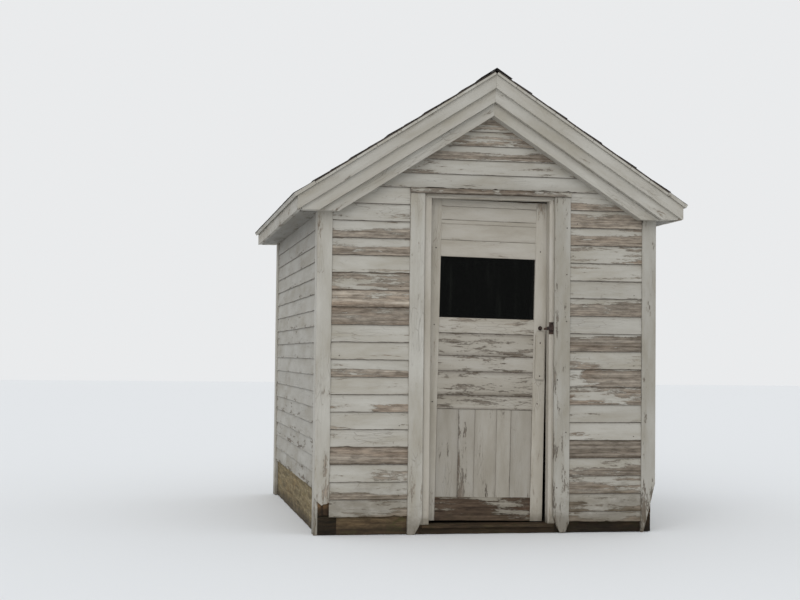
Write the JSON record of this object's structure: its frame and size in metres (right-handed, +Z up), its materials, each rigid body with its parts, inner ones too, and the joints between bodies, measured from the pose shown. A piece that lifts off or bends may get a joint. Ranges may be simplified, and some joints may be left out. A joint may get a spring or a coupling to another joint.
{
  "type": "wooden outhouse",
  "caption": "Small gabled wooden outhouse with lap siding, boxed eaves, shingle roof and an inward-opening boarded door with a window.",
  "frame": {"origin": "on the ground, below the middle of the building", "axes": "+Z up, the front with the door faces -Y, +X to the right seen from the front"},
  "size_m": [2.39, 2.808, 2.7564],
  "materials": {
    "siding_paint": "peeling white paint over weathered boards",
    "trim_paint": "old white paint, chalky and chipped",
    "door_paint": "old grey-white paint, cracked",
    "grey_wood": "bare weathered wood",
    "frame_wood": "rough sawn, unpainted",
    "sill_wood": "dark, damp and rotting",
    "shingles": "mineral-coated asphalt shingles",
    "rusty_iron": "rusted",
    "window_glass": "dark and dusty"
  },
  "bodies": {
    "root": {"end_sills": "sill_wood", "side_sills": "sill_wood", "floor_sleepers": "grey_wood", "floor": "grey_wood", "corner_posts": "frame_wood", "front_studs": "frame_wood", "rear_studs": "frame_wood", "side_studs": "frame_wood", "end_plates": "frame_wood", "side_plates": "frame_wood", "rafters": "frame_wood", "ridge_board": "frame_wood", "roof_boards_left": "grey_wood", "roof_boards_right": "grey_wood", "shingles_left": "shingles", "shingles_right": "shingles", "ridge_cap": "shingles", "eave_fascias": "trim_paint", "eave_soffits": "trim_paint", "front_rake_fascia": "trim_paint", "rear_rake_fascia": "trim_paint", "front_frieze": "trim_paint", "rear_frieze": "trim_paint", "front_corner_boards": "trim_paint", "rear_corner_boards": "trim_paint", "front_siding_left": "siding_paint", "front_siding_right": "siding_paint", "front_gable_siding": "siding_paint", "rear_siding": "siding_paint", "left_siding": "siding_paint", "right_siding": "siding_paint", "door_casings": "trim_paint", "drip_board": "grey_wood", "door_jambs": "trim_paint", "threshold": "grey_wood", "hinge_leaves": "rusty_iron", "latch_keeper": "rusty_iron"},
    "door": {"door_stiles": "door_paint", "door_rails": "door_paint", "door_panels": "door_paint", "door_window": "window_glass", "window_beads": "door_paint", "door_straps": "rusty_iron", "door_latch": "rusty_iron", "door_patch": "door_paint"}
  },
  "joints": [
    {"name": "door_hinge", "type": "hinge", "parent": "root", "child": "door", "pos_m": [-0.37563, -1.147, 1.03164], "axis": [0.0157, 0, 0.9999], "range_deg": [0, 100]}
  ]
}
